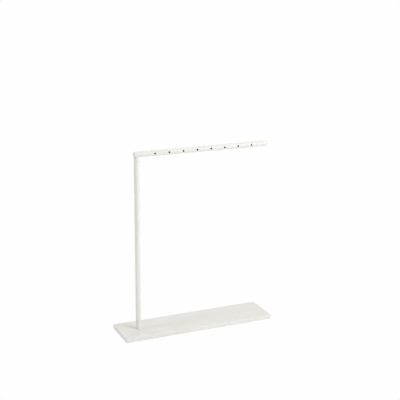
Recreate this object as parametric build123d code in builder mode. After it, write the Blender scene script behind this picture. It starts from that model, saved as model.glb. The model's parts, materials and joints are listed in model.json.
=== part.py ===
from build123d import *
import os

# Counter display stand: a flat steel base, a round post near its left end and a level round arm
# with a row of small holes for hanging goods. All sizes are in millimetres.
# Frame: the counter is z = 0 under the middle of the base, +X runs towards the arm's free end, +Z up.

# Base plate and its pads
base_length = 300.0
base_width = 75.0
plate_thickness = 8.0
plate_corner_radius = 1.0
plate_top_edge_radius = 0.6
plate_bottom_edge_chamfer = 0.4
pad_diameter = 12.0
pad_thickness = 1.0
pad_edge_chamfer = 0.2
pad_inset = 13.0

# Tubes of the post and the arm
total_height = 350.0
tube_diameter = 10.0
tube_wall = 1.0
tube_edge_chamfer = 0.2
post_inset = 37.5
saddle_tip_trim = 1.5

# Row of hanging holes along the arm
hanging_hole_diameter = 3.5
hanging_hole_count = 8
hanging_hole_margin = 34.0

# M5 hardware
thread_diameter = 5.0
thread_clearance_diameter = 5.5
thread_mouth_chamfer = 0.5
screw_length = 16.0
screw_head_diameter = 9.5
screw_head_height = 2.75
screw_head_edge_radius = 1.9
screw_socket_width = 3.0
screw_socket_depth = 1.6
screw_end_chamfer = 0.6
screw_recess_diameter = 12.5
screw_recess_depth = 5.2
flat_washer_outer_diameter = 10.0
flat_washer_inner_diameter = 5.3
flat_washer_thickness = 1.0
lock_washer_outer_diameter = 9.2
lock_washer_inner_diameter = 5.1
lock_washer_thickness = 1.2
lock_washer_split_width = 0.8
lock_washer_split_slant = 20.0
stud_length = 20.0
stud_depth_in_post = 12.5
stud_socket_width = 2.5
stud_socket_depth = 2.5

# Inserts, plug and cap
insert_length = 16.0
insert_edge_chamfer = 0.4
plug_head_thickness = 1.0
plug_head_edge_radius = 0.3
plug_spigot_length = 15.0
plug_hole_clear_end = 0.3
cap_head_thickness = 1.2
cap_head_edge_radius = 0.5
cap_stem_length = 9.0
cap_stem_diameter = 7.4
cap_stem_wall = 1.1
cap_rib_count = 4
cap_rib_width = 1.0
cap_rib_depth = 0.8
cap_rib_length = 7.0

# Heights and positions that follow from the sizes above
tube_radius = tube_diameter / 2
bore_radius = tube_radius - tube_wall
thread_radius = thread_diameter / 2
plate_bottom = pad_thickness
plate_top = plate_bottom + plate_thickness
post_x = -base_length / 2 + post_inset
arm_z = total_height - tube_radius
arm_underside = arm_z - tube_radius
post_tip = arm_z - saddle_tip_trim
arm_left = post_x - tube_radius
arm_right = base_length / 2
arm_tube_left = arm_left + plug_head_thickness
arm_tube_right = arm_right - cap_head_thickness
first_hole_x = post_x + hanging_hole_margin
last_hole_x = arm_right - hanging_hole_margin
hole_row_middle = (first_hole_x + last_hole_x) / 2
hole_pitch = (last_hole_x - first_hole_x) / (hanging_hole_count - 1)

os.makedirs("parts", exist_ok=True)


def save(piece, node_name):
    piece.part.label = node_name
    export_step(piece.part, f"parts/{node_name}.step")


# Base plate, with the screw's recess and clearance hole cut up from below
plate_underside = Plane(origin=(0, 0, plate_bottom), x_dir=(1, 0, 0), z_dir=(0, 0, -1))
with BuildPart() as base_plate:
    with BuildSketch(Plane.XY.offset(plate_bottom)):
        RectangleRounded(base_length, base_width, plate_corner_radius)
    extrude(amount=plate_thickness)
    fillet(base_plate.faces().sort_by(Axis.Z)[-1].edges(), plate_top_edge_radius)
    chamfer(base_plate.faces().sort_by(Axis.Z)[0].edges(), plate_bottom_edge_chamfer)
    with Locations(plate_underside):
        with Locations((post_x, 0)):
            CounterBoreHole(
                thread_clearance_diameter / 2,
                screw_recess_diameter / 2,
                screw_recess_depth,
                depth=plate_thickness,
            )
save(base_plate, "base_plate")

# Four anti-slip pads stuck under the corners of the plate
pad_x = base_length / 2 - pad_inset
pad_y = base_width / 2 - pad_inset
pad_centres = {
    "foot_pad_front_left": (-pad_x, -pad_y),
    "foot_pad_front_right": (pad_x, -pad_y),
    "foot_pad_rear_left": (-pad_x, pad_y),
    "foot_pad_rear_right": (pad_x, pad_y),
}
for pad_name, pad_centre in pad_centres.items():
    with BuildPart() as foot_pad:
        with BuildSketch(Plane.XY):
            with Locations(pad_centre):
                Circle(pad_diameter / 2)
        extrude(amount=pad_thickness)
        chamfer(foot_pad.faces().sort_by(Axis.Z)[0].edges(), pad_edge_chamfer)
    save(foot_pad, pad_name)

# Post tube, cut square at its foot and coped at the top into a saddle that hugs the arm
with BuildPart() as post_tube:
    with BuildSketch(Plane.XY.offset(plate_top)):
        with Locations((post_x, 0)):
            Circle(tube_radius)
            Circle(bore_radius, mode=Mode.SUBTRACT)
    extrude(amount=post_tip - plate_top)
    foot_rim = post_tube.faces().sort_by(Axis.Z)[0].edges().sort_by(SortBy.LENGTH)[-1]
    chamfer(foot_rim, tube_edge_chamfer)
    with BuildSketch(Plane(origin=(post_x, 0, arm_z), x_dir=(0, 1, 0), z_dir=(1, 0, 0))):
        Circle(tube_radius)
    extrude(amount=tube_diameter, both=True, mode=Mode.SUBTRACT)
save(post_tube, "post_tube")

# Threaded inserts, one flush with the post's foot and one just under the arm
insert_bottoms = {
    "post_foot_insert": plate_top,
    "post_top_insert": arm_underside - insert_length,
}
for insert_name, insert_bottom in insert_bottoms.items():
    with BuildPart() as post_insert:
        with BuildSketch(Plane.XY.offset(insert_bottom)):
            with Locations((post_x, 0)):
                Circle(bore_radius)
        extrude(amount=insert_length)
        chamfer(post_insert.edges(), insert_edge_chamfer)
        with Locations((post_x, 0, insert_bottom + insert_length)):
            Hole(thread_radius, depth=insert_length)
        thread_mouths = post_insert.edges().filter_by(GeomType.CIRCLE).sort_by(SortBy.RADIUS)[:2]
        chamfer(thread_mouths, thread_mouth_chamfer)
    save(post_insert, insert_name)

# Flat washer against the roof of the plate's recess
recess_roof = plate_bottom + screw_recess_depth
flat_washer_bottom = recess_roof - flat_washer_thickness
with BuildPart() as base_flat_washer:
    with BuildSketch(Plane.XY.offset(flat_washer_bottom)):
        with Locations((post_x, 0)):
            Circle(flat_washer_outer_diameter / 2)
            Circle(flat_washer_inner_diameter / 2, mode=Mode.SUBTRACT)
    extrude(amount=flat_washer_thickness)
save(base_flat_washer, "base_flat_washer")

# Split lock washer, pressed flat between the flat washer and the screw's head
screw_seat = flat_washer_bottom - lock_washer_thickness
with BuildPart() as base_lock_washer:
    with BuildSketch(Plane.XY.offset(screw_seat)):
        with Locations((post_x, 0)):
            Circle(lock_washer_outer_diameter / 2)
            Circle(lock_washer_inner_diameter / 2, mode=Mode.SUBTRACT)
    extrude(amount=lock_washer_thickness)
    split_radius = (lock_washer_outer_diameter + lock_washer_inner_diameter) / 4
    split_centre = (post_x, -split_radius, screw_seat + lock_washer_thickness / 2)
    with Locations(Location(split_centre, (0, lock_washer_split_slant, 0))):
        Box(
            lock_washer_split_width,
            lock_washer_outer_diameter - lock_washer_inner_diameter,
            lock_washer_thickness * 2,
            mode=Mode.SUBTRACT,
        )
save(base_lock_washer, "base_lock_washer")

# Button-head screw that clamps the post to the plate from below
screw_head_bottom = screw_seat - screw_head_height
with BuildPart() as base_screw:
    with BuildSketch(Plane.XY.offset(screw_head_bottom)):
        with Locations((post_x, 0)):
            Circle(screw_head_diameter / 2)
    extrude(amount=screw_head_height)
    fillet(base_screw.edges().sort_by(Axis.Z)[0], screw_head_edge_radius)
    with BuildSketch(Plane.XY.offset(screw_seat)):
        with Locations((post_x, 0)):
            Circle(thread_radius)
    extrude(amount=screw_length)
    chamfer(base_screw.edges().sort_by(Axis.Z)[-1], screw_end_chamfer)
    with BuildSketch(Plane.XY.offset(screw_head_bottom)):
        with Locations((post_x, 0)):
            RegularPolygon(screw_socket_width / 2, 6, major_radius=False)
    extrude(amount=screw_socket_depth, mode=Mode.SUBTRACT)
save(base_screw, "base_screw")

# Arm tube, lying in the post's saddle, with the hanging holes drilled through both walls
arm_section = Plane(origin=(arm_tube_left, 0, arm_z), x_dir=(0, 1, 0), z_dir=(1, 0, 0))
with BuildPart() as arm_tube:
    with BuildSketch(arm_section):
        Circle(tube_radius)
        Circle(bore_radius, mode=Mode.SUBTRACT)
    extrude(amount=arm_tube_right - arm_tube_left)
    with BuildSketch(Plane(origin=(hole_row_middle, 0, arm_z), x_dir=(1, 0, 0), z_dir=(0, -1, 0))):
        with GridLocations(hole_pitch, 1, hanging_hole_count, 1):
            Circle(hanging_hole_diameter / 2)
    extrude(amount=tube_diameter, both=True, mode=Mode.SUBTRACT)
    with BuildSketch(Plane.XY.offset(arm_underside)):
        with Locations((post_x, 0)):
            Circle(thread_clearance_diameter / 2)
    extrude(amount=tube_radius, mode=Mode.SUBTRACT)
save(arm_tube, "arm_tube")

# Solid plug that closes the arm's left end and takes the stud
stud_bottom = arm_underside - stud_depth_in_post
stud_top = stud_bottom + stud_length
plug_section = Plane(origin=(arm_left, 0, arm_z), x_dir=(0, 1, 0), z_dir=(1, 0, 0))
with BuildPart() as arm_end_plug:
    with BuildSketch(plug_section):
        Circle(tube_radius)
    extrude(amount=plug_head_thickness)
    fillet(arm_end_plug.edges().sort_by(Axis.X)[0], plug_head_edge_radius)
    with BuildSketch(plug_section):
        Circle(bore_radius)
    extrude(amount=plug_head_thickness + plug_spigot_length)
    chamfer(arm_end_plug.edges().sort_by(Axis.X)[-1], insert_edge_chamfer)
    with BuildSketch(Plane.XY.offset(arm_underside)):
        with Locations((post_x, 0)):
            Circle(thread_radius)
    extrude(amount=stud_top + plug_hole_clear_end - arm_underside, mode=Mode.SUBTRACT)
save(arm_end_plug, "arm_end_plug")

# Headless stud that ties the arm's plug to the insert in the post's top
with BuildPart() as arm_stud:
    with BuildSketch(Plane.XY.offset(stud_bottom)):
        with Locations((post_x, 0)):
            Circle(thread_radius)
    extrude(amount=stud_length)
    chamfer(arm_stud.edges(), screw_end_chamfer)
    with BuildSketch(Plane.XY.offset(stud_bottom)):
        with Locations((post_x, 0)):
            RegularPolygon(stud_socket_width / 2, 6, major_radius=False)
    extrude(amount=stud_socket_depth, mode=Mode.SUBTRACT)
save(arm_stud, "arm_stud")

# Push-in cap with a hollow ribbed stem, in the arm's free end
cap_inner_face = Plane(origin=(arm_tube_right, 0, arm_z), x_dir=(0, 1, 0), z_dir=(-1, 0, 0))
with BuildPart() as arm_tip_cap:
    with BuildSketch(cap_inner_face):
        Circle(tube_radius)
    extrude(amount=-cap_head_thickness)
    fillet(arm_tip_cap.edges().sort_by(Axis.X)[-1], cap_head_edge_radius)
    with BuildSketch(cap_inner_face):
        Circle(cap_stem_diameter / 2)
        Circle(cap_stem_diameter / 2 - cap_stem_wall, mode=Mode.SUBTRACT)
    extrude(amount=cap_stem_length)
    with BuildSketch(cap_inner_face):
        with PolarLocations(cap_stem_diameter / 2, cap_rib_count):
            Rectangle(cap_rib_depth, cap_rib_width)
        Circle(bore_radius, mode=Mode.INTERSECT)
    extrude(amount=cap_rib_length)
save(arm_tip_cap, "arm_tip_cap")
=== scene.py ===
import json
import math
import bpy
import bmesh
from mathutils import Matrix, Vector


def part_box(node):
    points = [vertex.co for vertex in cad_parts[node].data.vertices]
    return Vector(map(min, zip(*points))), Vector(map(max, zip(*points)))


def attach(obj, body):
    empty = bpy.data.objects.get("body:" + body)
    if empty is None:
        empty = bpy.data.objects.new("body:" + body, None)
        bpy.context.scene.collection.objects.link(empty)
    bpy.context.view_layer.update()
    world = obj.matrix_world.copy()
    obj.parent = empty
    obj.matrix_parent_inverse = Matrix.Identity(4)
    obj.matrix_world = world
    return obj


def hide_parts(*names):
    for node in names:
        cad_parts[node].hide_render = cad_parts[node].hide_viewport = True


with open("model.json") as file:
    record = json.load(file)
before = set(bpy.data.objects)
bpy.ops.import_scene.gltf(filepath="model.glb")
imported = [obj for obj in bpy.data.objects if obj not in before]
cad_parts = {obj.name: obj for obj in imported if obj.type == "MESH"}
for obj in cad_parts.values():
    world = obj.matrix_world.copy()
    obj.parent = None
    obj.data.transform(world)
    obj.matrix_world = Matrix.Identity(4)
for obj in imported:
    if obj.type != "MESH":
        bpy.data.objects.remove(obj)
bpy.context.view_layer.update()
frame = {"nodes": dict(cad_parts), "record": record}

mm = 0.001
nearly = 0.00001  # lengths closer than this count as the same
mergeDistance = 0.000001
smoothAngle = math.radians(38)
scene = bpy.context.scene


cameraSet = {
    "azimuth": -24.04,
    "elevation": 15.40,
    "roll": 0.37,
    "distance": 1.742,
    "lookAt": (0.0134, 0.0016, 0.2468),
    "lens": 83.66,
}


def addCamera(s):
    az, el = math.radians(s["azimuth"]), math.radians(s["elevation"])
    back = Vector((math.sin(az) * math.cos(el), -math.cos(az) * math.cos(el), math.sin(el)))
    data = bpy.data.cameras.new("standCamera")
    data.lens = s["lens"]
    data.sensor_width = 36.0
    data.clip_start = 0.05
    cam = bpy.data.objects.new("standCamera", data)
    cam.location = Vector(s["lookAt"]) + back * s["distance"]
    turn = back.to_track_quat("Z", "Y").to_matrix().to_4x4()
    roll = Matrix.Rotation(math.radians(s["roll"]), 4, "Z")
    cam.matrix_world = Matrix.Translation(cam.location) @ turn @ roll
    scene.collection.objects.link(cam)
    scene.camera = cam


addCamera(cameraSet)
print("camera placed")


# small helpers for shader nodes
def newGroup(name, inputs, outputs):
    group = bpy.data.node_groups.new(name, "ShaderNodeTree")
    for label, kind, value in inputs:
        sock = group.interface.new_socket(label, in_out="INPUT", socket_type=kind)
        if value is not None:
            sock.default_value = value
    for label, kind in outputs:
        group.interface.new_socket(label, in_out="OUTPUT", socket_type=kind)
    start = group.nodes.new("NodeGroupInput")
    end = group.nodes.new("NodeGroupOutput")
    return group, start, end


def link(tree, source, target):
    tree.links.new(source, target)


def mathNode(tree, operation, a, b=None, clamp=False):
    node = tree.nodes.new("ShaderNodeMath")
    node.operation = operation
    node.use_clamp = clamp
    for slot, value in zip(node.inputs, (a, b)):
        if value is None:
            continue
        if isinstance(value, (int, float)):
            slot.default_value = value
        else:
            link(tree, value, slot)
    return node.outputs[0]


def noiseNode(tree, vector, scale, detail=2.0, roughness=0.5):
    node = tree.nodes.new("ShaderNodeTexNoise")
    node.inputs["Detail"].default_value = detail
    node.inputs["Roughness"].default_value = roughness
    link(tree, vector, node.inputs["Vector"])
    if isinstance(scale, (int, float)):
        node.inputs["Scale"].default_value = scale
    else:
        link(tree, scale, node.inputs["Scale"])
    return node.outputs["Fac"]


def rangeNode(tree, value, low, high, toLow=0.0, toHigh=1.0):
    node = tree.nodes.new("ShaderNodeMapRange")
    link(tree, value, node.inputs["Value"])
    node.inputs["From Min"].default_value = low
    node.inputs["From Max"].default_value = high
    node.inputs["To Min"].default_value = toLow
    node.inputs["To Max"].default_value = toHigh
    return node.outputs["Result"]


def mixColour(tree, factor, first, second):
    node = tree.nodes.new("ShaderNodeMix")
    node.data_type = "RGBA"
    if isinstance(factor, (int, float)):
        node.inputs["Factor"].default_value = factor
    else:
        link(tree, factor, node.inputs["Factor"])
    for slot, value in ((node.inputs[6], first), (node.inputs[7], second)):
        if isinstance(value, tuple):
            slot.default_value = value
        else:
            link(tree, value, slot)
    return node.outputs[2]


def buildOrangePeel():
    # the soft dimples that melted powder leaves, with a finer pebble on top
    group, start, end = newGroup(
        "orangePeel",
        [("Vector", "NodeSocketVector", None), ("Dimples per metre", "NodeSocketFloat", 650.0),
         ("Pebble per metre", "NodeSocketFloat", 3200.0), ("Pebble share", "NodeSocketFloat", 0.3)],
        [("Height", "NodeSocketFloat")],
    )
    dimples = noiseNode(group, start.outputs["Vector"], start.outputs["Dimples per metre"], 1.5, 0.45)
    pebble = noiseNode(group, start.outputs["Vector"], start.outputs["Pebble per metre"], 2.0, 0.5)
    share = mathNode(group, "MULTIPLY", pebble, start.outputs["Pebble share"])
    link(group, mathNode(group, "ADD", dimples, share), end.inputs["Height"])
    return group


def buildEdgeWear():
    # corners where hands and cartons have rubbed the finish
    group, start, end = newGroup(
        "edgeWear",
        [("Vector", "NodeSocketVector", None), ("Patches per metre", "NodeSocketFloat", 90.0),
         ("Sharpness", "NodeSocketFloat", 6.0)],
        [("Mask", "NodeSocketFloat")],
    )
    geometry = group.nodes.new("ShaderNodeNewGeometry")
    corner = rangeNode(group, geometry.outputs["Pointiness"], 0.52, 0.62)
    patches = noiseNode(group, start.outputs["Vector"], start.outputs["Patches per metre"], 4.0, 0.6)
    raised = mathNode(group, "SUBTRACT", patches, 0.45)
    shaped = mathNode(group, "MULTIPLY", raised, start.outputs["Sharpness"], True)
    link(group, mathNode(group, "MULTIPLY", corner, shaped, True), end.inputs["Mask"])
    return group


def buildShopDust():
    # a thin film that settles on faces that look up
    group, start, end = newGroup(
        "shopDust",
        [("Vector", "NodeSocketVector", None), ("Clumps per metre", "NodeSocketFloat", 45.0)],
        [("Mask", "NodeSocketFloat")],
    )
    geometry = group.nodes.new("ShaderNodeNewGeometry")
    split = group.nodes.new("ShaderNodeSeparateXYZ")
    link(group, geometry.outputs["Normal"], split.inputs[0])
    upward = rangeNode(group, split.outputs["Z"], 0.4, 1.0)
    clumps = noiseNode(group, start.outputs["Vector"], start.outputs["Clumps per metre"], 5.0, 0.62)
    specks = noiseNode(group, start.outputs["Vector"], 2600.0, 2.0, 0.5)
    film = rangeNode(group, clumps, 0.38, 0.72)
    fleck = rangeNode(group, specks, 0.62, 0.72)
    filmPart = mathNode(group, "MULTIPLY", film, 0.6)
    fleckPart = mathNode(group, "MULTIPLY", fleck, 0.4)
    both = mathNode(group, "ADD", filmPart, fleckPart)
    link(group, mathNode(group, "MULTIPLY", upward, both, True), end.inputs["Mask"])
    return group


orangePeel = buildOrangePeel()
edgeWear = buildEdgeWear()
shopDust = buildShopDust()


def groupNode(tree, group, vector, **values):
    node = tree.nodes.new("ShaderNodeGroup")
    node.node_tree = group
    link(tree, vector, node.inputs["Vector"])
    for label, value in values.items():
        node.inputs[label.replace("_", " ")].default_value = value
    return node


def newMaterial(name):
    material = bpy.data.materials.new(name)
    material.use_nodes = True
    tree = material.node_tree
    shader = tree.nodes["Principled BSDF"]
    place = tree.nodes.new("ShaderNodeTexCoord")
    return material, tree, shader, place.outputs["Object"]


def bumpInto(tree, shader, height, distance, strength):
    bump = tree.nodes.new("ShaderNodeBump")
    bump.inputs["Distance"].default_value = distance
    bump.inputs["Strength"].default_value = strength
    link(tree, height, bump.inputs["Height"])
    link(tree, bump.outputs["Normal"], shader.inputs["Normal"])
    return bump


# one settings dictionary and one function for each finish
powderCoat = {
    "colour": (0.722, 0.708, 0.664, 1),
    "paleColour": (0.747, 0.735, 0.696, 1),
    "wornColour": (0.600, 0.590, 0.560, 1),
    "dustColour": (0.640, 0.620, 0.580, 1),
    "dimplesPerMetre": 620.0,
    "pebblePerMetre": 3400.0,
    "roughnessLow": 0.40,
    "roughnessHigh": 0.52,
    "dustClumpsPerMetre": 30.0,
    "dustShare": 0.10,
    "dustRoughness": 0.12,
    "wearPatchesPerMetre": 80.0,
    "wearSharpness": 5.0,
    "wearShare": 0.35,
    "pebbleShare": 0.25,
    "grainDepth": 0.14 * mm,
    "grainStrength": 0.5,
}


def makePowderCoat(s):
    material, tree, shader, place = newMaterial("whitePowderCoat")
    cloud = noiseNode(tree, place, 16.0, 4.0, 0.55)
    base = mixColour(tree, rangeNode(tree, cloud, 0.3, 0.7), s["colour"], s["paleColour"])
    dust = groupNode(tree, shopDust, place, Clumps_per_metre=s["dustClumpsPerMetre"])
    dustMask = dust.outputs["Mask"]
    dusty = mixColour(tree, mathNode(tree, "MULTIPLY", dustMask, s["dustShare"]), base, s["dustColour"])
    wear = groupNode(tree, edgeWear, place, Patches_per_metre=s["wearPatchesPerMetre"],
                     Sharpness=s["wearSharpness"])
    wearMask = mathNode(tree, "MULTIPLY", wear.outputs["Mask"], s["wearShare"])
    worn = mixColour(tree, wearMask, dusty, s["wornColour"])
    link(tree, worn, shader.inputs["Base Color"])
    smear = noiseNode(tree, place, 70.0, 5.0, 0.6)
    rough = rangeNode(tree, smear, 0.3, 0.7, s["roughnessLow"], s["roughnessHigh"])
    rough = mathNode(tree, "ADD", rough, mathNode(tree, "MULTIPLY", dustMask, s["dustRoughness"]))
    link(tree, rough, shader.inputs["Roughness"])
    peel = groupNode(tree, orangePeel, place, Dimples_per_metre=s["dimplesPerMetre"],
                     Pebble_per_metre=s["pebblePerMetre"], Pebble_share=s["pebbleShare"])
    bumpInto(tree, shader, peel.outputs["Height"], s["grainDepth"], s["grainStrength"])
    shader.inputs["IOR"].default_value = 1.5
    return material


whitePowderCoat = makePowderCoat(powderCoat)

moulded = {
    "colour": (0.740, 0.732, 0.705, 1),
    "shadeColour": (0.700, 0.690, 0.660, 1),
    "sparksPerMetre": 5200.0,
    "wearPatchesPerMetre": 300.0,
    "wearSharpness": 4.0,
    "wearShare": 0.25,
}


def makeMouldedPlastic(s):
    material, tree, shader, place = newMaterial("whiteMouldedPlastic")
    cloud = noiseNode(tree, place, 240.0, 3.0, 0.5)
    wear = groupNode(tree, edgeWear, place, Patches_per_metre=s["wearPatchesPerMetre"],
                     Sharpness=s["wearSharpness"])
    base = mixColour(tree, rangeNode(tree, cloud, 0.35, 0.65), s["shadeColour"], s["colour"])
    wearMask = mathNode(tree, "MULTIPLY", wear.outputs["Mask"], s["wearShare"])
    worn = mixColour(tree, wearMask, base, s["shadeColour"])
    link(tree, worn, shader.inputs["Base Color"])
    sparks = noiseNode(tree, place, s["sparksPerMetre"], 2.0, 0.6)
    link(tree, rangeNode(tree, sparks, 0.3, 0.7, 0.42, 0.55), shader.inputs["Roughness"])
    bumpInto(tree, shader, sparks, 0.00004, 0.4)
    return material


whiteMouldedPlastic = makeMouldedPlastic(moulded)

padFinish = {
    "colour": (0.560, 0.560, 0.545, 1),
    "dirtColour": (0.360, 0.350, 0.330, 1),
    "cellsPerMetre": 2400.0,
}


def makePadRubber(s):
    material, tree, shader, place = newMaterial("paleFoamRubber")
    cells = tree.nodes.new("ShaderNodeTexVoronoi")
    cells.inputs["Scale"].default_value = s["cellsPerMetre"]
    link(tree, place, cells.inputs["Vector"])
    smudge = noiseNode(tree, place, 260.0, 4.0, 0.6)
    base = mixColour(tree, rangeNode(tree, smudge, 0.42, 0.75, 0.0, 0.6), s["colour"], s["dirtColour"])
    link(tree, base, shader.inputs["Base Color"])
    link(tree, rangeNode(tree, smudge, 0.2, 0.8, 0.78, 0.92), shader.inputs["Roughness"])
    bumpInto(tree, shader, cells.outputs["Distance"], 0.0001, 0.5)
    return material


paleFoamRubber = makePadRubber(padFinish)

zinc = {
    "colour": (0.560, 0.575, 0.590, 1),
    "warmColour": (0.600, 0.585, 0.540, 1),
    "spangleColour": (0.420, 0.430, 0.445, 1),
}


def makeZincSteel(s):
    material, tree, shader, place = newMaterial("zincPlatedSteel")
    tint = noiseNode(tree, place, 180.0, 3.0, 0.5)
    spots = noiseNode(tree, place, 1500.0, 3.0, 0.6)
    base = mixColour(tree, rangeNode(tree, tint, 0.35, 0.65), s["colour"], s["warmColour"])
    spotted = mixColour(tree, rangeNode(tree, spots, 0.55, 0.75, 0.0, 0.6), base, s["spangleColour"])
    link(tree, spotted, shader.inputs["Base Color"])
    link(tree, rangeNode(tree, spots, 0.3, 0.7, 0.26, 0.44), shader.inputs["Roughness"])
    shader.inputs["Metallic"].default_value = 1.0
    bumpInto(tree, shader, spots, 0.00003, 0.35)
    return material


zincPlatedSteel = makeZincSteel(zinc)

turned = {
    "colour": (0.430, 0.430, 0.435, 1),
    "oilColour": (0.300, 0.290, 0.280, 1),
    "groovesPerMetre": 2600.0,
}


def makeTurnedSteel(s):
    # bare bar stock: fine lathe marks across the axis and a film of oil
    material, tree, shader, place = newMaterial("turnedSteel")
    marks = tree.nodes.new("ShaderNodeTexWave")
    marks.wave_type = "BANDS"
    marks.bands_direction = "Z"
    marks.inputs["Scale"].default_value = s["groovesPerMetre"]
    marks.inputs["Distortion"].default_value = 1.5
    marks.inputs["Detail"].default_value = 2.0
    link(tree, place, marks.inputs["Vector"])
    film = noiseNode(tree, place, 300.0, 4.0, 0.55)
    base = mixColour(tree, rangeNode(tree, film, 0.4, 0.7), s["colour"], s["oilColour"])
    link(tree, base, shader.inputs["Base Color"])
    link(tree, rangeNode(tree, film, 0.3, 0.7, 0.22, 0.4), shader.inputs["Roughness"])
    shader.inputs["Metallic"].default_value = 1.0
    bumpInto(tree, shader, marks.outputs["Fac"], 0.00002, 0.5)
    return material


turnedSteel = makeTurnedSteel(turned)

rawTube = {
    "scaleColour": (0.085, 0.082, 0.080, 1),
    "steelColour": (0.190, 0.186, 0.180, 1),
    "rustColour": (0.130, 0.085, 0.060, 1),
}


def makeRawTubeSteel(s):
    # the inside of a tube, where the powder does not reach: mill scale with a little rust
    material, tree, shader, place = newMaterial("rawTubeSteel")
    scale = noiseNode(tree, place, 420.0, 5.0, 0.6)
    rust = noiseNode(tree, place, 900.0, 4.0, 0.65)
    base = mixColour(tree, rangeNode(tree, scale, 0.4, 0.65), s["scaleColour"], s["steelColour"])
    rusty = mixColour(tree, rangeNode(tree, rust, 0.58, 0.7, 0.0, 0.6), base, s["rustColour"])
    link(tree, rusty, shader.inputs["Base Color"])
    link(tree, rangeNode(tree, scale, 0.3, 0.7, 0.55, 0.75), shader.inputs["Roughness"])
    shader.inputs["Metallic"].default_value = 0.6
    bumpInto(tree, shader, scale, 0.00004, 0.5)
    return material


rawTubeSteel = makeRawTubeSteel(rawTube)
print("finishes made")


def finishPiece(name, bm, materials, recordSlot, *nodes):
    bmesh.ops.recalc_face_normals(bm, faces=bm.faces)
    mesh = bpy.data.meshes.new(name)
    bm.to_mesh(mesh)
    bm.free()
    mesh.polygons.foreach_set("use_smooth", [True] * len(mesh.polygons))
    mesh.set_sharp_from_angle(angle=smoothAngle)
    for material in materials:
        mesh.materials.append(material)
    piece = bpy.data.objects.new(name, mesh)
    scene.collection.objects.link(piece)
    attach(piece, "root")
    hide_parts(*nodes)
    print(name, "built with", len(mesh.polygons), "faces")
    return piece


def spinProfile(bm, points, centre, axis, steps, closed=True):
    # points are (distance from the axis, distance along it), turned once round the axis
    axis = Vector(axis)
    side = Vector((0, 0, 1)) if abs(axis.z) < 0.5 else Vector((1, 0, 0))
    verts = [bm.verts.new(Vector(centre) + side * r + axis * h) for r, h in points]
    ends = list(zip(verts, verts[1:] + verts[:1])) if closed else list(zip(verts, verts[1:]))
    edges = [bm.edges.new(pair) for pair in ends]
    bmesh.ops.spin(bm, geom=verts + edges, cent=centre, axis=axis, angle=math.tau, steps=steps,
                   use_merge=True, use_duplicate=False)
    bmesh.ops.remove_doubles(bm, verts=bm.verts, dist=mergeDistance)
    bmesh.ops.recalc_face_normals(bm, faces=bm.faces)


def loopFrom(edges):
    return list({v for e in edges for v in e.verts})


def bevelEdges(bm, edges, width, segments):
    bmesh.ops.bevel(bm, geom=list(edges), offset=width, offset_type="OFFSET", segments=segments,
                    profile=0.5, affect="EDGES", material=-1)


def stepLoop(bm, edges, place):
    # extrudes a loop of edges and puts each new corner where place(old position) says
    grown = bmesh.ops.extrude_edge_only(bm, edges=edges)["geom"]
    newEdges = [g for g in grown if isinstance(g, bmesh.types.BMEdge)]
    for v in loopFrom(newEdges):
        v.co = place(v.co)
    return newEdges


def bareInside(bm, distanceFromAxis, bore):
    # faces that lie wholly on the bore take the second material
    for f in bm.faces:
        if all(distanceFromAxis(v.co) < bore + 0.02 * mm for v in f.verts):
            f.material_index = 1


# the base plate and the post share the screw's place
plateLow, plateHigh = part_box("base_plate")
postLow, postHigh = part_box("post_tube")
postX = (postLow.x + postHigh.x) / 2
basePlate = {
    "cornerRadius": 1.0 * mm,
    "topEdge": 0.6 * mm,
    "bottomEdge": 0.4 * mm,
    "edgeRing": 0.7 * mm,
    "patch": 12.0 * mm,
    "recessRadius": 6.25 * mm,
    "recessDepth": 5.2 * mm,
    "screwHoleRadius": 2.75 * mm,
    "rimRounding": 0.3 * mm,
    "collar": 1.0 * mm,
    "patchCuts": 11,
}


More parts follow.
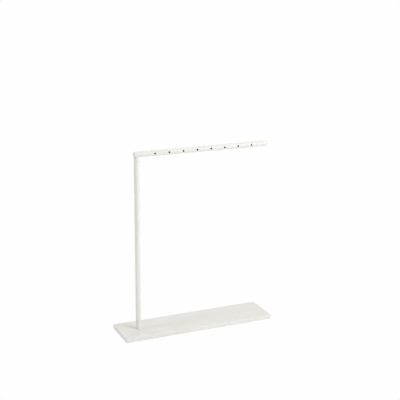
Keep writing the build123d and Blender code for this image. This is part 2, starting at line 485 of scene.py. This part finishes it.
def buildBasePlate(s):
    bm = bmesh.new()
    bmesh.ops.create_cube(bm, size=1.0)
    bmesh.ops.scale(bm, vec=plateHigh - plateLow, verts=bm.verts)
    bmesh.ops.translate(bm, vec=(plateHigh + plateLow) / 2, verts=bm.verts)
    upright = [e for e in bm.edges if abs(e.verts[0].co.z - e.verts[1].co.z) > 1 * mm]
    bevelEdges(bm, upright, s["cornerRadius"], 6)
    tops = [e for e in bm.edges if all(v.co.z > plateHigh.z - 1e-6 for v in e.verts)]
    bevelEdges(bm, tops, s["topEdge"], 4)
    lows = [e for e in bm.edges if all(v.co.z < plateLow.z + 1e-6 for v in e.verts)]
    bevelEdges(bm, lows, s["bottomEdge"], 3)
    # cuts round the screw give both skins a square to work in
    cuts = [(axis, centre + side * s["patch"]) for axis, centre in ((0, postX), (1, 0.0)) for side in (-1, 1)]
    # cuts near the edges hold the wear there
    for axis in range(3):
        for step in (2, 3):
            inward = step * s["edgeRing"]
            cuts += [(axis, plateLow[axis] + inward), (axis, plateHigh[axis] - inward)]
    for axis, place in cuts:
        normal = Vector([float(axis == i) for i in range(3)])
        bmesh.ops.bisect_plane(bm, geom=bm.verts[:] + bm.edges[:] + bm.faces[:],
                               plane_co=normal * place, plane_no=normal, dist=1e-7)
    loops = {}
    for level, key in ((plateLow.z, "under"), (plateHigh.z, "upper")):
        spot = Vector((postX, 0.0, level))
        patch = [f for f in bm.faces if (f.calc_center_median() - spot).length < 1 * mm]
        border = [e for f in patch for e in f.edges]
        bmesh.ops.delete(bm, geom=patch, context="FACES_ONLY")
        bmesh.ops.subdivide_edges(bm, edges=border, cuts=s["patchCuts"], use_grid_fill=False)
        ring = [e for e in bm.edges if e.is_boundary and abs(e.verts[0].co.z - level) < nearly]
        loops[key] = ring

    def onCircle(radius, height):
        def place(co):
            out = Vector((co.x - postX, co.y, 0)).normalized() * radius
            return Vector((postX + out.x, out.y, height))
        return place

    roof = plateLow.z + s["recessDepth"]
    ring = stepLoop(bm, loops["under"], onCircle(s["recessRadius"] + s["collar"], plateLow.z))
    rim = stepLoop(bm, ring, onCircle(s["recessRadius"], plateLow.z))
    wall = stepLoop(bm, rim, onCircle(s["recessRadius"], roof))
    hole = stepLoop(bm, wall, onCircle(s["screwHoleRadius"], roof))
    ring = stepLoop(bm, loops["upper"], onCircle(s["screwHoleRadius"] + s["collar"], plateHigh.z))
    mouth = stepLoop(bm, ring, onCircle(s["screwHoleRadius"], plateHigh.z))
    bmesh.ops.bridge_loops(bm, edges=hole + mouth)
    bevelEdges(bm, [e for e in rim if e.is_valid], s["rimRounding"], 3)
    bmesh.ops.remove_doubles(bm, verts=bm.verts, dist=0.0000005)
    return finishPiece("basePlate", bm, [whitePowderCoat], "white_powder_coat", "base_plate")


buildBasePlate(basePlate)

# four thin pads, turned from one outline
footPad = {
    "edge": 0.22 * mm,
    "roundness": 0.3,
    "innerRing": 1.0 * mm,
    "steps": 48,
}


def buildFootPad(s, node, name):
    low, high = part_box(node)
    centre = Vector(((low.x + high.x) / 2, (low.y + high.y) / 2, low.z))
    radius, height = (high.x - low.x) / 2, high.z - low.z
    bm = bmesh.new()
    inner = radius - s["innerRing"]
    edge = s["edge"]
    rounded = s["roundness"] * edge
    points = [(0.0, 0.0), (inner, 0.0), (radius - edge, 0.0), (radius - rounded, rounded),
              (radius, edge), (radius, height), (0.0, height)]
    spinProfile(bm, points, centre, (0, 0, 1), s["steps"], closed=False)
    return finishPiece(name, bm, [paleFoamRubber], "pad_rubber", node)


for padNode in ("foot_pad_front_left", "foot_pad_front_right", "foot_pad_rear_left", "foot_pad_rear_right"):
    words = padNode.split("_")
    buildFootPad(footPad, padNode, words[0] + "".join(w.capitalize() for w in words[1:]))

armLow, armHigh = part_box("arm_tube")
armZ = (armLow.z + armHigh.z) / 2
armRadius = (armHigh.z - armLow.z) / 2


def runTo(start, stop, step):
    # even steps from start, which is left out, up to stop, which is kept
    count = max(1, round((stop - start) / step))
    return [start + (stop - start) * i / count for i in range(1, count + 1)]


postTube = {
    "wall": 1.0 * mm,
    "endRounding": 0.18 * mm,
    "endRing": 0.5 * mm,
    "saddleDepth": 6.0 * mm,
    "saddleGap": 0.05 * mm,
    "run": 8.0 * mm,
    "steps": 120,
}


def buildPost(s):
    radius = (postHigh.x - postLow.x) / 2
    bore = radius - s["wall"]
    height = postHigh.z - postLow.z
    ring = s["endRing"]
    heights = [0.0, ring, 2 * ring] + runTo(2 * ring, height - s["saddleDepth"], s["run"])
    heights += [height - 2 * ring, height - ring, height]
    points = [(bore, 0.0)] + [(radius, h) for h in heights] + [(bore, height)]
    bm = bmesh.new()
    spinProfile(bm, points, (postX, 0.0, postLow.z), (0, 0, 1), s["steps"])
    # the top is coped to the arm, and the two thin tips are trimmed level
    for v in bm.verts:
        depth = postHigh.z - v.co.z
        if depth < 2.5 * ring:
            saddle = armZ - math.sqrt(max(armRadius ** 2 - v.co.y ** 2, 0.0)) - s["saddleGap"]
            v.co.z = min(postHigh.z, saddle) - depth
    rims = [e for e in bm.edges if len(e.link_faces) == 2 and e.calc_face_angle() > 0.5
            and all(Vector((v.co.x - postX, v.co.y)).length > radius - nearly for v in e.verts)]
    bevelEdges(bm, rims, s["endRounding"], 3)
    bareInside(bm, lambda co: Vector((co.x - postX, co.y)).length, bore)
    return finishPiece("postTube", bm, [whitePowderCoat, rawTubeSteel], "white_powder_coat", "post_tube")


buildPost(postTube)

# the arm gets its holes where the record puts its mounts
boreMounts = [m for m in frame["record"]["mounts"] if m["kind"] == "bore"]
holeMounts = sorted(m["pos_m"][0] for m in boreMounts)
holeRadius = boreMounts[0]["dims"]["r_mm"] * mm
armTube = {
    "wall": 1.0 * mm,
    "rows": 48,
    "run": 3.0 * mm,
    "endRing": 0.3 * mm,
    "endRounding": 0.15 * mm,
    "holeRim": 0.22 * mm,
    "holeCell": {"half": 2.6 * mm, "columns": 8, "rows": 5},
    "studHoleRadius": 2.75 * mm,
    "studCell": {"half": 3.4 * mm, "columns": 10, "rows": 8},
}


def drillSheet(shell, radius, hole):
    def reach(co):
        # 1 on the border of the cell round the hole, less inside it
        return max(abs(co.x - hole["x"]) / hole["half"], abs(co.y - hole["angle"]) / hole["halfAngle"])

    def onRim(co):
        turn = math.atan2((co.y - hole["angle"]) * armRadius, co.x - hole["x"])
        across = math.asin(hole["radius"] * math.sin(turn) / radius)
        return Vector((hole["x"] + hole["radius"] * math.cos(turn), hole["angle"] + across, 0.0))

    inside = [f for f in shell.faces if reach(f.calc_center_median()) < 1.0]
    bmesh.ops.delete(shell, geom=inside, context="FACES")
    border = [e for e in shell.edges if e.is_boundary and all(reach(v.co) < 1.001 for v in e.verts)]
    rim = stepLoop(shell, border, onRim)
    spokes = {e for v in loopFrom(rim) for e in v.link_edges} - set(rim)
    bmesh.ops.subdivide_edges(shell, edges=list(spokes), cuts=2)


def addArmShell(bm, s, radius, stations, holes):
    # a flat sheet, x along the arm and y the angle round it, is drilled and then rolled up
    shell = bmesh.new()
    columns = len(stations) - 1
    bmesh.ops.create_grid(shell, x_segments=columns, y_segments=s["rows"], size=1.0)
    for v in shell.verts:
        column = round((v.co.x + 1) / 2 * columns)
        v.co = Vector((stations[column], -1.5 * math.pi + (v.co.y + 1) / 2 * math.tau, 0.0))
    for hole in holes:
        drillSheet(shell, radius, hole)
    for v in shell.verts:
        angle = v.co.y
        v.co = Vector((v.co.x, -radius * math.cos(angle), armZ + radius * math.sin(angle)))
    mesh = bpy.data.meshes.new("armShell")
    shell.to_mesh(mesh)
    shell.free()
    bm.from_mesh(mesh)
    bpy.data.meshes.remove(mesh)


def buildArm(s):
    inner = armRadius - s["wall"]
    ring = s["endRing"]
    rowAngle = math.tau / s["rows"]
    drillings = [(postX, -math.pi / 2, s["studHoleRadius"], s["studCell"])]
    drillings += [(x, turn, holeRadius, s["holeCell"]) for x in holeMounts for turn in (0.0, -math.pi)]
    holes = [{"x": x, "angle": angle, "radius": radius,
              "half": cell["half"], "halfAngle": cell["rows"] * rowAngle}
             for x, angle, radius, cell in drillings]
    # stations along the arm: a fine grid at each hole, even runs between, close rings at the ends
    stations = [armLow.x, armLow.x + ring]
    for x, cell in [(postX, s["studCell"])] + [(x, s["holeCell"]) for x in holeMounts]:
        stations += runTo(stations[-1], x - cell["half"], s["run"])
        stations += runTo(x - cell["half"], x + cell["half"], 2 * cell["half"] / cell["columns"])
    stations += runTo(stations[-1], armHigh.x - 2 * ring, s["run"]) + [armHigh.x - ring, armHigh.x]
    bm = bmesh.new()
    for radius in (armRadius, inner):
        addArmShell(bm, s, radius, stations, holes)
    bmesh.ops.remove_doubles(bm, verts=bm.verts, dist=mergeDistance)

    def outerRim(belongs):
        return [e for e in bm.edges if e.is_boundary and all(
            belongs(v.co) and math.hypot(v.co.y, v.co.z - armZ) > armRadius - nearly for v in e.verts)]

    def throughWall(out):
        # along a drilling, from the outer skin to the inner one
        def place(co):
            radial = Vector((0, co.y, co.z - armZ))
            across = radial - out * radial.dot(out)
            deep = across + out * math.sqrt(inner ** 2 - across.length_squared)
            return Vector((co.x, deep.y, armZ + deep.z))
        return place

    def towardAxis(co):
        return Vector((co.x, co.y * inner / armRadius, armZ + (co.z - armZ) * inner / armRadius))

    # the two shells are joined at both ends and at every hole
    for end in (armLow.x, armHigh.x):
        stepLoop(bm, outerRim(lambda co: abs(co.x - end) < 1e-6), towardAxis)
    for hole in holes:
        out = Vector((0, -math.cos(hole["angle"]), math.sin(hole["angle"])))
        rim = outerRim(lambda co: abs(co.x - hole["x"]) < hole["half"]
                       and co.y * out.y + (co.z - armZ) * out.z > 0)
        stepLoop(bm, rim, throughWall(out))
    bmesh.ops.remove_doubles(bm, verts=bm.verts, dist=mergeDistance)
    bmesh.ops.recalc_face_normals(bm, faces=bm.faces)
    rimEdges = [e for e in bm.edges if len(e.link_faces) == 2 and e.calc_face_angle() > 0.9
                and all(abs(Vector((v.co.y, v.co.z - armZ)).length - armRadius) < nearly for v in e.verts)]
    drilled = [e for e in rimEdges if holeMounts[0] - 4 * mm < e.verts[0].co.x < holeMounts[-1] + 4 * mm]
    cutEnds = [e for e in rimEdges if any(abs(e.verts[0].co.x - end) < 1e-6 for end in (armLow.x, armHigh.x))]
    bevelEdges(bm, drilled, s["holeRim"], 3)
    bevelEdges(bm, [e for e in cutEnds if e.is_valid], s["endRounding"], 2)
    bareInside(bm, lambda co: Vector((co.y, co.z - armZ)).length, inner)
    return finishPiece("armTube", bm, [whitePowderCoat, rawTubeSteel], "white_powder_coat", "arm_tube")


buildArm(armTube)

# the hardware keeps its own solid and gets a finish
hardwareFinish = {
    "arm_end_plug": whitePowderCoat,
    "arm_tip_cap": whiteMouldedPlastic,
    "arm_stud": zincPlatedSteel,
    "base_screw": zincPlatedSteel,
    "base_lock_washer": zincPlatedSteel,
    "base_flat_washer": zincPlatedSteel,
    "post_foot_insert": turnedSteel,
    "post_top_insert": turnedSteel,
}
for nodeName, finish in hardwareFinish.items():
    mesh = frame["nodes"][nodeName].data
    mesh.materials.clear()
    mesh.materials.append(finish)
print("hardware finished")

stage = {
    "floorSize": 12.0,
    "floorColour": (0.90, 0.90, 0.895, 1),
    "seenGlow": 0.992,
    "airColour": (1.0, 1.0, 1.0, 1),
    "airStrength": 0.465,
}


def buildFloor(s):
    bm = bmesh.new()
    bmesh.ops.create_grid(bm, x_segments=8, y_segments=8, size=s["floorSize"] / 2)
    mesh = bpy.data.meshes.new("studioFloor")
    bm.to_mesh(mesh)
    bm.free()
    material, tree, shader, place = newMaterial("studioPaper")
    fibres = noiseNode(tree, place, 900.0, 3.0, 0.6)
    pale = tuple(c * 0.985 for c in s["floorColour"][:3]) + (1,)
    paper = mixColour(tree, fibres, s["floorColour"], pale)
    link(tree, paper, shader.inputs["Base Color"])
    shader.inputs["Roughness"].default_value = 0.9
    # looked at directly the paper is even white, for the stand it is ordinary paper
    white = tree.nodes.new("ShaderNodeEmission")
    white.inputs["Strength"].default_value = s["seenGlow"]
    path = tree.nodes.new("ShaderNodeLightPath")
    either = tree.nodes.new("ShaderNodeMixShader")
    link(tree, path.outputs["Is Camera Ray"], either.inputs[0])
    link(tree, shader.outputs["BSDF"], either.inputs[1])
    link(tree, white.outputs["Emission"], either.inputs[2])
    link(tree, either.outputs["Shader"], tree.nodes["Material Output"].inputs["Surface"])
    mesh.materials.append(material)
    floor = bpy.data.objects.new("studioFloor", mesh)
    scene.collection.objects.link(floor)


buildFloor(stage)

# bearing is counted anticlockwise from the arm's free end, seen from above
softboxes = {
    "keyLamp": {"bearing": -59.0, "elevation": 34.0, "size": 0.35, "power": 7.0},
    "keySoftbox": {"bearing": -54.0, "elevation": 30.0, "size": 1.5, "power": 16.5},
    "topSoftbox": {"bearing": -110.0, "elevation": 60.0, "size": 0.9, "power": 2.4},
    "rightSoftbox": {"bearing": -8.0, "elevation": 30.0, "size": 0.9, "power": 4.0},
    "backSoftbox": {"bearing": 120.0, "elevation": 30.0, "size": 0.9, "power": 6.0},
    "highBackSoftbox": {"bearing": 60.0, "elevation": 60.0, "size": 0.9, "power": 6.5},
    "leftLamp": {"bearing": 177.0, "elevation": 22.0, "size": 0.5, "power": 7.4},
}
lampDistance = 2.0
lampTarget = Vector((0, 0, 0.12))


def addSoftbox(name, s):
    data = bpy.data.lights.new(name, "AREA")
    data.shape = "SQUARE"
    data.size = s["size"]
    data.energy = s["power"]
    lamp = bpy.data.objects.new(name, data)
    turn, rise = math.radians(s["bearing"]), math.radians(s["elevation"])
    away = Vector((math.cos(turn) * math.cos(rise), math.sin(turn) * math.cos(rise), math.sin(rise)))
    lamp.location = lampTarget + away * lampDistance
    lamp.rotation_euler = away.to_track_quat("Z", "Y").to_euler()
    lamp.visible_camera = False
    scene.collection.objects.link(lamp)


for boxName, boxSet in softboxes.items():
    addSoftbox(boxName, boxSet)


def lightAir(s):
    world = bpy.data.worlds.new("studioAir")
    world.use_nodes = True
    tree = world.node_tree
    sky = tree.nodes["Background"]
    sky.inputs["Color"].default_value = s["airColour"]
    path = tree.nodes.new("ShaderNodeLightPath")
    strength = rangeNode(tree, path.outputs["Is Camera Ray"], 0.0, 1.0, s["airStrength"], s["seenGlow"])
    link(tree, strength, sky.inputs["Strength"])
    scene.world = world


lightAir(stage)
scene.view_settings.view_transform = "Standard"
print("stage lit")
